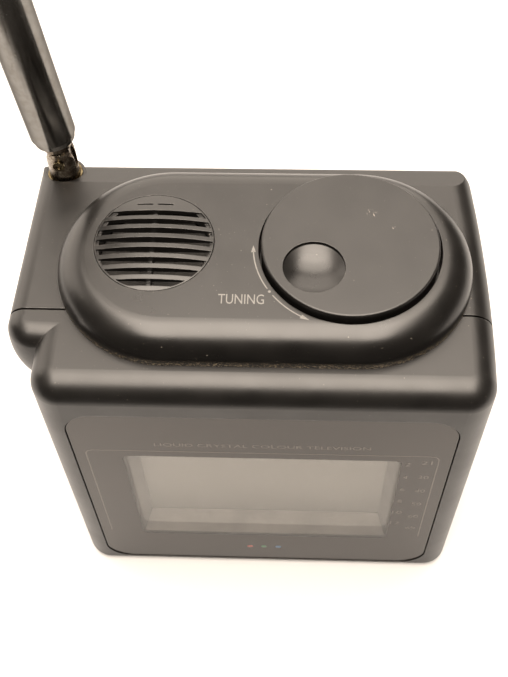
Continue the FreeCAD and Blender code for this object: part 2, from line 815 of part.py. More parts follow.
def tuning_dial():
    top = s.dial_top
    foot = 95.2
    disc = new_body("dial_disc")
    outline = circle(sketch_on(disc, "XY_Plane"), 0, 0, s.dial_round)
    pad(disc, outline, top - foot)
    round_edges(disc, 0.45, lambda edge: is_at_height(edge, float(top) - foot))
    place(disc, s.dial_x, s.dial_y, foot)
    hollow = tube("dial_hollow", "Z", (s.dial_x, s.dial_y, foot - 1), s.dial_round - 2.2, 5.5, 3.2)
    ball_round = (s.dish_round * s.dish_round + s.dish_deep * s.dish_deep) / (2 * s.dish_deep)
    ball = doc.addObject("Part::Sphere", "dish_ball")
    bind(ball, "Radius", ball_round)
    place(ball, s.dish_x, s.dish_y, top - s.dish_step - s.dish_deep + ball_round)
    dish = common("dish", ball, cylinder("dish_edge", "Z", (s.dish_x, s.dish_y, top - 4), s.dish_round, 5))
    bore = cylinder("dial_bore", "Z", (s.dial_x, s.dial_y, foot - 1), 3.0, 3.6)
    node(cut("tuning_dial", disc, hollow, dish, bore))

    at = (s.dial_x, s.dial_y)
    shaft = cylinder("shaft_rod", "Z", (*at, 81), 3.0, foot + 2.6 - 81)
    lever_flat = box("shaft_flat", (s.dial_x - 4, s.dial_y - 4, 85), (s.dial_x + 4, s.dial_y - 2.4, 88))
    node(cut("dial_shaft", shaft, lever_flat))
    lever_hub = cylinder("lever_hub", "Z", (*at, 85.2), 4.6, 2.6)
    lever_arm = box("lever_arm", (s.dial_x - 1.2, s.dial_y, 85.2), (s.dial_x + 1.2, s.dial_y + 9, 87.8))
    lever_peg = cylinder("lever_peg", "Z", (s.dial_x, s.dial_y + 7.2, 87.5), 0.8, 2.7)
    lever_solid = fuse("lever_solid", lever_hub, lever_arm, lever_peg)
    node(cut("dial_lever", lever_solid, shaft))
    node(tube("dial_clip", "Z", (*at, 91.0), 4.6, 3.0, 0.7))

    dial_spring()
    board = box(
        "tuning_board_blank",
        (s.dial_x - 14, s.dial_y - 13, 82), (s.dial_x + 14, s.dial_y + 13, 83.6),
    )
    holes = [
        cylinder(f"tuning_board_hole_{i}", "Z", (s.dial_x + x, s.dial_y + y, 81), 1.2, 4)
        for i, (x, y) in enumerate(POSTS)
    ]
    middle = cylinder("tuning_board_middle", "Z", (*at, 81), 3.6, 4)
    node(cut("tuning_board", board, middle, *holes))
    switches = []
    for side in (-1, 1):
        name = "left" if side < 0 else "right"
        x = s.dial_x + side * 9.2
        body = box(
            f"tuning_switch_body_{name}",
            (x - 2.2, s.dial_y + 1.6, 83.6), (x + 2.2, s.dial_y + 6.2, 87.2),
        )
        tip_start = x + 2.0 if side < 0 else x - 4.6
        tip = cylinder(f"tuning_switch_tip_{name}", "X", (tip_start, s.dial_y + 4.6, 86.4), 0.7, 2.6)
        switches.append(fuse(f"tuning_switch_{name}", body, tip))
    node(group("tuning_switches", switches))


# ---------------------------------------------------------------- screen


def front_panel():
    body = new_body("front_panel")
    outline = rounded_rectangle(
        sketch_on(body, "XZ_Plane"),
        s.panel_left, s.panel_low, s.panel_right, s.panel_high, s.panel_round,
    )
    pad(body, outline, s.panel_thick)
    return node(place(body, 0, s.panel_sunk + s.panel_thick - s.case_depth / 2, 0))


def screen_slab(name, half_width, half_height, near, far):
    """Upright slab behind the window, about the middle of the picture."""
    return box(
        name,
        (s.screen_x - half_width, near, s.screen_z - half_height),
        (s.screen_x + half_width, far, s.screen_z + half_height),
    )


def screen_funnel():
    """Bezel between the window and the picture, with sloping inner sides."""
    nose = screen_slab("bezel_nose", 32.6, 26.2, -30.1, -28.1)
    flange = screen_slab("bezel_flange", 36, 27.9, -28.1, s.picture_y - 0.05)
    throat = doc.addObject("Part::Wedge", "bezel_throat")
    sides = {
        "Xmin": s.screen_x - 31.2, "Xmax": s.screen_x + 31.2,
        "Zmin": s.screen_z - 25.2, "Zmax": s.screen_z + 25.2,
        "X2min": s.screen_x - s.picture_width / 2, "X2max": s.screen_x + s.picture_width / 2,
        "Z2min": s.screen_z - s.picture_height / 2, "Z2max": s.screen_z + s.picture_height / 2,
        "Ymin": as_size(-30.1), "Ymax": s.picture_y - 0.05,
    }
    for prop, size in sides.items():
        setattr(throat, prop, float(size))
        bind(throat, prop, size)
    node(cut("screen_bezel", fuse("bezel_solid", nose, flange), throat))


def display():
    screen_funnel()
    wide = s.picture_width / 2 + 3.6
    tall = s.picture_height / 2 + 3.6
    front = s.picture_y
    node(screen_slab("picture_panel", wide, tall, front, front + 2.4))
    node(screen_slab("light_diffuser", wide, tall, front + 2.5, front + 4.0))
    frame_outer = screen_slab("frame_outer", wide + 1.2, tall + 1.2, front, front + 11)
    frame_inner = screen_slab("frame_inner", wide + 0.1, tall + 0.1, front - 1, front + 12)
    node(cut("display_frame", frame_outer, frame_inner))
    tray = screen_slab("tray_block", wide, tall, front + 4.1, front + 11)
    tray_space = screen_slab("tray_space", wide - 1.2, tall - 1.2, front + 4.0, front + 9.8)
    node(cut("light_tray", tray, tray_space))
    node(group("backlight_lamps", [
        cylinder(f"lamp_{i}", "X", (s.screen_x - 27, front + 7, s.screen_z + z), 1.6, 54)
        for i, z in enumerate((-11, 11))
    ]))


# ---------------------------------------------------------------- boards


def boards():
    node(box("display_board", (-36, -9.8, 13), (36, -8.2, 74)))
    node(box("main_board", (-36, -3.5, 13), (44.5, -1.9, 76)))
    chips = [(-26, 24, 12, 10), (-8, 30, 14, 14), (14, 22, 12, 9), (18, 48, 10, 14), (-24, 50, 15, 8)]
    node(group("board_chips", [
        box(f"chip_{i}", (x, -5.6, z), (x + wide, -3.5, z + tall))
        for i, (x, z, wide, tall) in enumerate(chips)
    ]))
    cans = [(30, 30, 3.0), (34, 20, 2.5), (-31, 30, 3.0), (-31, 40, 2.0), (28, 68, 2.5), (20, 68, 2.5)]
    node(group("board_capacitors", [
        cylinder(f"capacitor_{i}", "Y", (x, -1.9, z), radius, 6.5)
        for i, (x, z, radius) in enumerate(cans)
    ]))
    can = box("tuner_block", (-33, -1.9, 62.5), (2, 9, 76))
    dimples = [
        cylinder(f"tuner_hole_{i}", "Y", (-28 + 8.5 * i, 8.4, 69), 1.6, 2)
        for i in range(4)
    ]
    node(cut("tuner_can", can, *dimples))


# ---------------------------------------------------------------- batteries


def batteries():
    half = 1.5 * s.cell_pitch + 0.15
    low = s.cell_low - 2.0
    high = s.cell_low + s.cell_long + 1.7
    shell = box("battery_outer", (-half - 1.2, -0.9, low - 1.2), (half + 1.2, 29.8, high + 1.2))
    space = box("battery_space", (-half, 0.3, low), (half, 31, high))
    hinge_room = box("battery_hinge_room", (-30, 28.1, 0), (30, 31, s.hinge_z + 2.2))
    node(cut("battery_box", shell, space, hinge_room))
    cells, springs, plates = [], [], []
    for column in range(3):
        for layer in range(2):
            tag = f"{column}_{layer}"
            x = (column - 1) * s.cell_pitch
            y = 8.0 + layer * s.cell_pitch
            flip = (column + layer) % 2
            foot = (x, y, s.cell_low + flip)
            body = cylinder(f"cell_body_{tag}", "Z", foot, s.cell_round, s.cell_long - 1)
            nub_z = s.cell_low if flip else s.cell_low + s.cell_long - 1
            nub = cylinder(f"cell_nub_{tag}", "Z", (x, y, nub_z), 2.7, 1)
            cells.append(fuse(f"cell_{tag}", body, nub))
            spring_low = low + 0.4 if not flip else s.cell_low + s.cell_long
            plate_low = low if not flip else high - 0.4
            spring_room = s.cell_low - low - 0.4 if not flip else high - 0.4 - s.cell_low - s.cell_long
            coil = cone(f"spring_{tag}", "Z", (x, y, spring_low), 3.6, 2.4, spring_room)
            core = cylinder(f"spring_core_{tag}", "Z", (x, y, spring_low - 0.5), 1.9, spring_room + 1)
            springs.append(cut(f"coil_{tag}", coil, core))
            plates.append(box(
                f"plate_{tag}",
                (x - 4.5, y - 4.5, plate_low), (x + 4.5, y + 4.5, plate_low + 0.4),
            ))
    node(group("battery_cells", cells))
    node(group("battery_springs", springs))
    node(group("battery_plates", plates))


def battery_door():
    half = s.door_half
    back = s.case_depth / 2
    plate = box("door_plate", (-half, s.hinge_y, s.hinge_z), (half, back, s.door_high))
    barrel = cylinder("door_barrel", "X", (-half, s.hinge_y, s.hinge_z), s.hinge_round, 2 * half)
    pins = cylinder("door_pins", "X", (-half - 3, s.hinge_y, s.hinge_z), 0.72, 2 * half + 6)
    ribs = [
        box(
            f"door_groove_{i}",
            (-9, back - 0.45, s.door_high - 6 - 2.2 * i), (9, back + 1, s.door_high - 5 - 2.2 * i),
        )
        for i in range(5)
    ]
    tongue = box("door_tongue", (-5, s.hinge_y - 1.0, s.door_high - 0.8), (5, s.hinge_y, s.door_high))
    solid = fuse("door_solid", plate, barrel, pins, tongue)
    node(cut("battery_door", solid, *ribs))


# ---------------------------------------------------------------- side controls


def thumb_wheel(name, z):
    disc = cylinder(f"{name}_disc", "Y", (s.wheel_x, s.wheel_y, z), s.wheel_round, s.wheel_thick)
    shaft = cylinder(f"{name}_shaft", "Y", (s.wheel_x, s.wheel_y - 2.4, z), 1.5, 3)
    notches = []
    for index in range(30):
        angle = 2 * math.pi * index / 30
        x = s.wheel_x + s.wheel_round * math.cos(angle)
        notch_z = z + s.wheel_round * math.sin(angle)
        start = (x, s.wheel_y - 1, notch_z)
        notches.append(cylinder(f"{name}_notch_{index}", "Y", start, 0.5, s.wheel_thick + 2))
    dish = cylinder(f"{name}_dish", "Y", (s.wheel_x, s.wheel_y + s.wheel_thick - 0.8, z), 5.5, 2)
    node(cut(f"{name}_wheel", fuse(f"{name}_solid", disc, shaft), dish, *notches))
    case = cylinder(f"{name}_case", "Y", (s.wheel_x - 0.5, -1.9, z), 4.6, s.wheel_y + 1.6)
    bore = cylinder(f"{name}_case_bore", "Y", (s.wheel_x, -1.5, z), 1.55, 6)
    node(cut(f"{name}_control", case, bore))


def slide_switches():
    body = box("power_body", (38.5, 9, POWER_SLOT[0] - 2), (43.2, 15.4, POWER_SLOT[1] + 2))
    groove = box("power_groove", (40.9, 11.2, POWER_SLOT[0] - 1), (44, 13.2, POWER_SLOT[1] + 1))
    node(cut("power_switch", body, groove))
    low = POWER_SLOT[0] + 0.4
    stem = box("power_stem", (41.2, 11.5, low + 1), (46, 12.9, low + 3))
    cap = box("power_cap", (45, 10.4, low), (49.3, 14.0, low + 5.4))
    teeth = [
        box(f"power_tooth_{i}", (48.9, 10, low + 0.9 + 1.2 * i), (50, 15, low + 1.4 + 1.2 * i))
        for i in range(4)
    ]
    node(cut("power_slider", fuse("power_solid", stem, cap), *teeth))

    middle = (BAND_SLOT[0] + BAND_SLOT[1]) / 2
    frame = box("band_body", (BAND_SLOT[0] - 2, 22.6, 69.5), (BAND_SLOT[1] + 2, 27.4, 76.5))
    slot = box("band_groove", (BAND_SLOT[0] - 1, 24.6, 72), (BAND_SLOT[1] + 1, 28, 74))
    node(cut("band_switch", frame, slot))
    stalk = box("band_stem", (middle - 1.2, 24.9, 72.3), (middle + 1.2, 29, 73.7))
    knob = box("band_cap", (middle - 3, 28.2, 71.3), (middle + 3, 33.0, 74.7))
    ridges = [
        box(f"band_tooth_{i}", (middle - 1.9 + 1.5 * i, 32.6, 70), (middle - 1.3 + 1.5 * i, 34, 76))
        for i in range(3)
    ]
    node(cut("band_slider", fuse("band_solid", stalk, knob), *ridges))


def sockets():
    for name, z, bore in JACKS:
        nose = cylinder(f"{name}_nose", "X", (-48.4, JACK_Y, z), 3.4, 4)
        block = box(f"{name}_block", (-45.2, JACK_Y - 4.4, z - 4.4), (-34, JACK_Y + 4.4, z + 4.4))
        hole = cylinder(f"{name}_bore", "X", (-50, JACK_Y, z), bore, 14)
        node(cut(name, fuse(f"{name}_solid", nose, block), hole))


# ---------------------------------------------------------------- fasteners


def screws():
    long_ones = []
    for name, x, z in SCREW_PLACES:
        head = cylinder(f"screw_head_{name}", "Y", (x, -4, z), 2.6, 2)
        shank = cylinder(f"screw_shank_{name}", "Y", (x, -25, z), 1.2, 21)
        cross = [
            box(f"screw_cross_{name}_a", (x - 1.5, -2.8, z - 0.3), (x + 1.5, 0, z + 0.3)),
            box(f"screw_cross_{name}_b", (x - 0.3, -2.8, z - 1.5), (x + 0.3, 0, z + 1.5)),
        ]
        long_ones.append(cut(f"screw_{name}", fuse(f"screw_solid_{name}", head, shank), *cross))
    node(group("case_screws", long_ones))
    short_ones = []
    for i, (x, y) in enumerate(POSTS):
        at = (s.dial_x + x, s.dial_y + y)
        head = cylinder(f"board_head_{i}", "Z", (*at, 80.8), 1.9, 1.2)
        shank = cylinder(f"board_shank_{i}", "Z", (*at, 82), 0.9, 5)
        short_ones.append(fuse(f"board_screw_{i}", head, shank))
    node(group("board_screws", short_ones))


# ---------------------------------------------------------------- aerial

SECTIONS = 4
LEAN = Rotation(Vector(0, 1, 0), -4.5)


def leaning(item):
    """Stand a piece built round the origin on the rivet, leaning with the aerial."""
    item.Placement = FreeCAD.Placement(Vector(), LEAN)
    return node(place(item, s.aerial_x, s.aerial_y, s.rivet_height))


def aerial_mounting():
    axis = (s.aerial_x, s.aerial_y)
    node(tube("aerial_bush", "Z", (*axis, 80), 4.0, 3.5, 10.2))
    tag_ring = tube("tag_ring", "Z", (*axis, 79.4), 3.95, 3.5, 0.6)
    tag_tab = box(
        "tag_tab",
        (s.aerial_x - 1.5, s.aerial_y - 9, 79.4), (s.aerial_x + 1.5, s.aerial_y - 3.6, 80),
    )
    node(fuse("aerial_tag", tag_ring, tag_tab))

    shaft = cylinder("swivel_shaft", "Z", (*axis, 77), 3.4, s.rivet_height + 3.1 - 77)
    slot = box(
        "swivel_slot",
        (s.aerial_x - 5, s.aerial_y - 1.1, s.rivet_height - 3.4),
        (s.aerial_x + 5, s.aerial_y + 1.1, s.rivet_height + 5),
    )
    crown = cylinder("swivel_crown", "Y", (s.aerial_x, s.aerial_y - 5, s.rivet_height), 3.1, 10)
    below = box(
        "swivel_below",
        (s.aerial_x - 5, s.aerial_y - 5, 70), (s.aerial_x + 5, s.aerial_y + 5, s.rivet_height),
    )
    eye = cylinder("swivel_eye", "Y", (s.aerial_x, s.aerial_y - 5, s.rivet_height), 0.9, 10)
    rounded = common("swivel_rounded", shaft, fuse("swivel_keep", crown, below))
    node(cut("aerial_swivel", rounded, slot, eye))
    shank = cylinder("rivet_shank", "Y", (s.aerial_x, s.aerial_y - 3.6, s.rivet_height), 0.9, 7.2)
    heads = [
        cylinder(f"rivet_head_{i}", "Y", (s.aerial_x, s.aerial_y + y, s.rivet_height), 1.35, 0.5)
        for i, y in enumerate((-3.9, 3.4))
    ]
    dimple = cylinder("rivet_dimple", "Y", (s.aerial_x, s.aerial_y - 4.5, s.rivet_height), 0.75, 0.85)
    shaft_copy = cut("rivet_shaft_copy", shaft, slot, eye)
    node(cut("aerial_rivet", fuse("rivet_solid", shank, *heads), shaft_copy, dimple))
    node(tube("aerial_nut", "Z", (*axis, 77.2), 3.85, 3.4, 2.0))


def telescope():
    """Knuckle, lowest tube and the sections that slide out of it, round the tilting rivet."""
    tang = box("tang_plate", (-2.5, -1.0, 0), (2.5, 1.0, 5))
    tang_end = cylinder("tang_end", "Y", (0, -1.0, 0), 2.5, 2.0)
    neck = cylinder("tang_neck", "Z", (0, 0, 3.4), 3.3, 6)
    eye = cylinder("tang_eye", "Y", (0, -2, 0), 0.95, 4)
    leaning(cut("aerial_knuckle", fuse("knuckle_solid", tang, tang_end, neck), eye))

    low = s.tube_start
    high = low + s.tube_long
    outer = s.tube_round
    inner = outer - s.tube_wall
    leaning(turned("aerial_tube", 0, 0, 0, [
        (3.3, low), (outer - 1.3, low), (outer - 0.5, low + 0.8), (outer - 0.35, low + 2.1),
        (outer, low + 2.5), (outer, high - 0.9), (outer - 0.3, high), (inner - 0.15, high),
        (inner - 0.15, high - 1.4), (inner, high - 1.6), (inner, low + 2.8), (3.3, low + 2.4),
    ]))
    for index in range(1, SECTIONS):
        outer = s.tube_round - s.tube_step * index
        inner = outer - s.tube_wall
        foot = low + 4.6 + 1.5 * index
        head = high + 1.3 * index
        leaning(turned(f"aerial_section_{index + 1}", 0, 0, 0, [
            (inner, foot), (outer + 0.2, foot), (outer + 0.2, foot + 2), (outer, foot + 2.2),
            (outer, head - 0.7), (outer - 0.2, head), (inner - 0.15, head),
            (inner - 0.15, head - 1.4), (inner, head - 1.6),
        ]))
    rod = s.tube_round - s.tube_step * SECTIONS
    foot = low + 4.6 + 1.5 * SECTIONS
    head = high + 1.3 * SECTIONS
    leaning(turned("aerial_rod", 0, 0, 0, [
        (0, foot), (rod + 0.2, foot), (rod + 0.2, foot + 2), (rod, foot + 2.2), (rod, head), (0, head),
    ]))
    leaning(turned("aerial_tip", 0, 0, 0, [
        (0, head), (3.8, head), (4.4, head + 0.6), (4.4, head + 2.6), (3.6, head + 3.6), (0, head + 4.0),
    ]))


def base_pads():
    """Thin rubber discs set flush into the underside."""
    node(group("base_pads", [
        cylinder(f"pad_{i}", "Z", (x, y, 0), PAD_ROUND, PAD_DEEP) for i, (x, y) in enumerate(PADS)
    ]))


front_shell()
rear_shell()
top_cover()
speaker_grille()
speaker()
tuning_dial()
front_panel()
display()
boards()
batteries()
battery_door()
for wheel_name, wheel_z in WHEELS:
    thumb_wheel(wheel_name, wheel_z)
slide_switches()
sockets()
screws()
aerial_mounting()
telescope()
base_pads()

doc.recompute()
broken = [item.Name for item in doc.Objects if "Invalid" in item.State or "Error" in item.State]
if broken:
    raise ValueError(f"objects that failed: {broken}")
for item in NODES:
    if item.Shape.isNull() or not item.Shape.isValid() or not item.Shape.Solids:
        raise ValueError(f"{item.Name} has no valid solid")

os.makedirs("parts", exist_ok=True)
for item in NODES:
    item.Shape.exportStep(f"parts/{item.Label}.step")
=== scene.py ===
"""Looks of the portable television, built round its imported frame."""

import json
import math

import bmesh
import bpy
from mathutils import Matrix, Vector


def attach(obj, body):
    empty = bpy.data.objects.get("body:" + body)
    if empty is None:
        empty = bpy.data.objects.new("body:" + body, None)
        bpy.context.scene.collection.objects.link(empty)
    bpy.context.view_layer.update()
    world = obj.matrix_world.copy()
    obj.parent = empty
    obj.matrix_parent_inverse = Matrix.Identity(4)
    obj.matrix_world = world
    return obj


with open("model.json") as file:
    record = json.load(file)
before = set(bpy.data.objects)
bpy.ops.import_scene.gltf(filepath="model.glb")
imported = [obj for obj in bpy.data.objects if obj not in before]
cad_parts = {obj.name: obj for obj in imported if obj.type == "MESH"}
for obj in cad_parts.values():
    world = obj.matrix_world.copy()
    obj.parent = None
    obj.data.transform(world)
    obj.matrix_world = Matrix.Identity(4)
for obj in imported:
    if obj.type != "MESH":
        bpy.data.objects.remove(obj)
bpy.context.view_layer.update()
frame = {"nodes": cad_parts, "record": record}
nodes = frame["nodes"]

MM = 0.001
ROOT_BODY = "case"

# places and sizes on the case, in millimetres
COVER_TOP, COVER_Y, COVER_HALF, COVER_END, COVER_ROUND = 99.2, -1.0, 19.9, 24.3, 6.7
COVER_FOOT, GRIME_TOP = 91.5, 93.6
DIAL_X, DIAL_Y, DIAL_TOP = 18.0, -0.4, 101.1
DISH_X, DISH_Y, DISH_LOW = 10.45, -6.95, 98.0
PANEL_FACE = -31.75
WINDOW = (-31.2, 18.3, 31.0, 63.0)  # left, low, right, high
INK_LIFT, SIDE_LIFT = 0.01, 0.03


# ---------------------------------------------------------------- materials


class Nodes:
    """Short calls for building one material's node tree."""

    def __init__(self, name):
        self.material = bpy.data.materials.new(name)
        self.material.use_nodes = True
        self.tree = self.material.node_tree
        self.tree.nodes.clear()
        self.out = self.tree.nodes.new("ShaderNodeOutputMaterial")
        self.coordinates = self.tree.nodes.new("ShaderNodeTexCoord").outputs["Object"]

    def new(self, kind, **settings):
        node = self.tree.nodes.new(kind)
        for key, value in settings.items():
            setattr(node, key, value)
        return node

    def link(self, source, target):
        if isinstance(source, bpy.types.NodeSocket):
            self.tree.links.new(source, target)
        else:
            target.default_value = source

    def math(self, operation, first, second=0.0):
        node = self.new("ShaderNodeMath", operation=operation)
        self.link(first, node.inputs[0])
        self.link(second, node.inputs[1])
        return node.outputs[0]

    def noise(self, size, detail=3.0, roughness=0.55, stretch=(1, 1, 1), distortion=0.0):
        """Noise from 0 to 1 whose features are about size millimetres wide."""
        mapping = self.new("ShaderNodeMapping")
        mapping.inputs["Scale"].default_value = stretch
        self.link(self.coordinates, mapping.inputs["Vector"])
        node = self.new("ShaderNodeTexNoise")
        self.link(mapping.outputs[0], node.inputs["Vector"])
        node.inputs["Scale"].default_value = 1 / (size * MM)
        node.inputs["Detail"].default_value = detail
        node.inputs["Roughness"].default_value = roughness
        node.inputs["Distortion"].default_value = distortion
        return node.outputs["Fac"]

    def ramp(self, value, low, high, start=0.0, end=1.0, smooth=True):
        """value between low and high mapped to start..end."""
        node = self.new("ShaderNodeMapRange", clamp=True)
        node.interpolation_type = "SMOOTHSTEP" if smooth else "LINEAR"
        self.link(value, node.inputs["Value"])
        for key, number in (("From Min", low), ("From Max", high), ("To Min", start), ("To Max", end)):
            self.link(number, node.inputs[key])
        return node.outputs[0]

    def mix(self, share, first, second):
        """Colour between first and second."""
        node = self.new("ShaderNodeMix", data_type="RGBA")
        self.link(share, node.inputs[0])
        for colour, socket in ((first, node.inputs[6]), (second, node.inputs[7])):
            if isinstance(colour, (tuple, list)):
                colour = (*colour[:3], 1.0)
            self.link(colour, socket)
        return node.outputs[2]

    def bump(self, height, depth, strength=1.0, below=None):
        node = self.new("ShaderNodeBump")
        node.inputs["Strength"].default_value = strength
        node.inputs["Distance"].default_value = depth * MM
        self.link(height, node.inputs["Height"])
        if below is not None:
            self.link(below, node.inputs["Normal"])
        return node.outputs[0]

    def edges(self, radius):
        """1 on corners and edges, 0 on flats."""
        bevel = self.new("ShaderNodeBevel", samples=6)
        bevel.inputs["Radius"].default_value = radius * MM
        geometry = self.new("ShaderNodeNewGeometry")
        dot = self.new("ShaderNodeVectorMath", operation="DOT_PRODUCT")
        self.link(bevel.outputs[0], dot.inputs[0])
        self.link(geometry.outputs["Normal"], dot.inputs[1])
        return self.ramp(dot.outputs["Value"], 0.995, 0.93)

    def rounded(self, radius):
        """Shading normal with the sharp edges eased over radius millimetres."""
        bevel = self.new("ShaderNodeBevel", samples=6)
        bevel.inputs["Radius"].default_value = radius * MM
        return bevel.outputs[0]

    def near(self, place, radius):
        """1 at a place on the object, 0 from radius millimetres outwards."""
        distance = self.new("ShaderNodeVectorMath", operation="DISTANCE")
        self.link(self.coordinates, distance.inputs[0])
        distance.inputs[1].default_value = [v * MM for v in place]
        return self.ramp(distance.outputs["Value"], radius * MM, 0.3 * radius * MM)

    def axis(self, index):
        split = self.new("ShaderNodeSeparateXYZ")
        self.link(self.coordinates, split.inputs[0])
        return split.outputs[index]

    def shade(self, colour, roughness, normal=None, **constants):
        """Principled shader; constants are set on its own sockets."""
        shader = self.new("ShaderNodeBsdfPrincipled")
        if isinstance(colour, (tuple, list)):
            colour = (*colour[:3], 1.0)
        self.link(colour, shader.inputs["Base Color"])
        self.link(roughness, shader.inputs["Roughness"])
        if normal is not None:
            self.link(normal, shader.inputs["Normal"])
        for key, value in constants.items():
            shader.inputs[key.replace("_", " ")].default_value = value
        return shader.outputs[0]

    def finish(self, surface):
        self.link(surface, self.out.inputs["Surface"])
        return self.material


def plastic(
    name, colour, rough=0.36, grain=0.16, depth=0.009, wear=(0.09, 0.085, 0.08), dust=0.0,
    dirt=None, scuffed=(), polished_spot=None,
):
    """Moulded plastic: fine grain, patchy sheen, rubbed edges, a little dust and eased edges.

    dirt is a band of heights in millimetres where grime gathers; scuffed lists the places
    and radii of light scratches; polished_spot is the place and radius of a smoother area.
    """
    n = Nodes(name)
    patches = n.noise(9, 4)
    fine = n.noise(grain, 2, 0.6)
    scuffs = n.ramp(n.noise(1.1, 5, 0.7, (1, 1, 1), 1.2), 0.66, 0.8)
    worn = n.math("MULTIPLY", n.edges(0.35), n.ramp(n.noise(2.2, 4, 0.65), 0.45, 0.7))
    tone = n.mix(n.ramp(patches, 0.3, 0.7), [c * 0.8 for c in colour], [c * 1.2 for c in colour])
    tone = n.mix(n.math("MULTIPLY", worn, 0.5), tone, wear)
    if dust:
        specks = n.ramp(n.noise(0.55, 2, 0.5), 0.72, 0.8)
        tone = n.mix(n.math("MULTIPLY", specks, dust), tone, (0.22, 0.2, 0.17))
    if dirt:
        low, high = dirt
        height = n.axis(2)
        from_below = n.ramp(height, (low - 0.3) * MM, low * MM)
        from_above = n.ramp(height, high * MM, low * MM)
        band = n.math("MULTIPLY", from_below, from_above)
        crumbs = n.ramp(n.noise(0.45, 5, 0.75), 0.52, 0.58)
        tone = n.mix(n.math("MULTIPLY", band, crumbs), tone, (0.26, 0.21, 0.14))
    for place, radius in scuffed:
        streaks = n.ramp(n.noise(0.5, 4, 0.7, (1, 0.35, 1), 1.5), 0.56, 0.64)
        tone = n.mix(n.math("MULTIPLY", n.near(place, radius), streaks), tone, (0.3, 0.27, 0.24))
    base = n.ramp(patches, 0.25, 0.75, rough - 0.03, rough + 0.04)
    polished = n.math("MULTIPLY", worn, -0.08)
    roughness = n.math("ADD", n.math("ADD", base, polished), n.math("MULTIPLY", scuffs, 0.06))
    if polished_spot:
        smoother = n.math("MULTIPLY", n.near(*polished_spot), n.ramp(scuffs, 0, 1, -0.09, 0.03))
        roughness = n.math("ADD", roughness, smoother)
    normal = n.bump(fine, depth, 0.6, n.rounded(0.22))
    return n.finish(n.shade(tone, roughness, normal))


def metal(
    name, colour, rough, stretch=(1, 1, 1), size=0.4, stain=None, stain_share=0.0, metallic=1.0, depth=0.003,
    edge=1.0,
):
    """Metal with fine drawn lines, handling marks and an optional stain.

    edge is how bright the metal reflects at a grazing angle.
    """
    n = Nodes(name)
    lines = n.noise(size, 4, 0.6, stretch)
    cloudy = n.noise(5, 4)
    pits = n.ramp(n.noise(0.5, 3, 0.6), 0.68, 0.78)
    tone = n.mix(n.ramp(cloudy, 0.3, 0.7), [c * 0.88 for c in colour], colour)
    if stain:
        spread = n.ramp(n.noise(1.6, 5, 0.65), 0.5 - 0.25 * stain_share, 0.62)
        share = n.math("MULTIPLY", spread, stain_share)
        tone = n.mix(share, tone, stain)
    drawn = n.ramp(lines, 0.3, 0.7, rough * 0.8, rough * 1.3)
    roughness = n.math("ADD", drawn, n.math("MULTIPLY", pits, 0.25))
    normal = n.bump(lines, depth, 0.5, n.rounded(0.12))
    tint = (edge, edge, edge, 1.0)
    return n.finish(n.shade(tone, roughness, normal, Metallic=metallic, Specular_Tint=tint))


def board(name):
    """Green circuit board with copper tracks under the mask."""
    n = Nodes(name)
    voronoi = n.new("ShaderNodeTexVoronoi", feature="DISTANCE_TO_EDGE")
    voronoi.distance = "EUCLIDEAN"
    voronoi.inputs["Scale"].default_value = 1 / (2.6 * MM)
    n.link(n.coordinates, voronoi.inputs["Vector"])
    tracks = n.ramp(voronoi.outputs["Distance"], 0.05, 0.09, 1.0, 0.0)
    tone = n.mix(tracks, (0.012, 0.09, 0.035), (0.03, 0.17, 0.07))
    tone = n.mix(n.ramp(n.noise(0.8, 3), 0.7, 0.75), tone, (0.5, 0.48, 0.42))
    roughness = n.ramp(n.noise(4, 3), 0.3, 0.7, 0.28, 0.42)
    return n.finish(n.shade(tone, roughness, n.bump(tracks, 0.03), Coat_Weight=0.3))


def beyond(n, index, low, high):
    """Distance along one axis past the range from low to high, 0 inside it."""
    offset = n.math("ABSOLUTE", n.math("SUBTRACT", n.axis(index), (low + high) / 2))
    return n.math("MAXIMUM", n.math("SUBTRACT", offset, (high - low) / 2), 0.0)


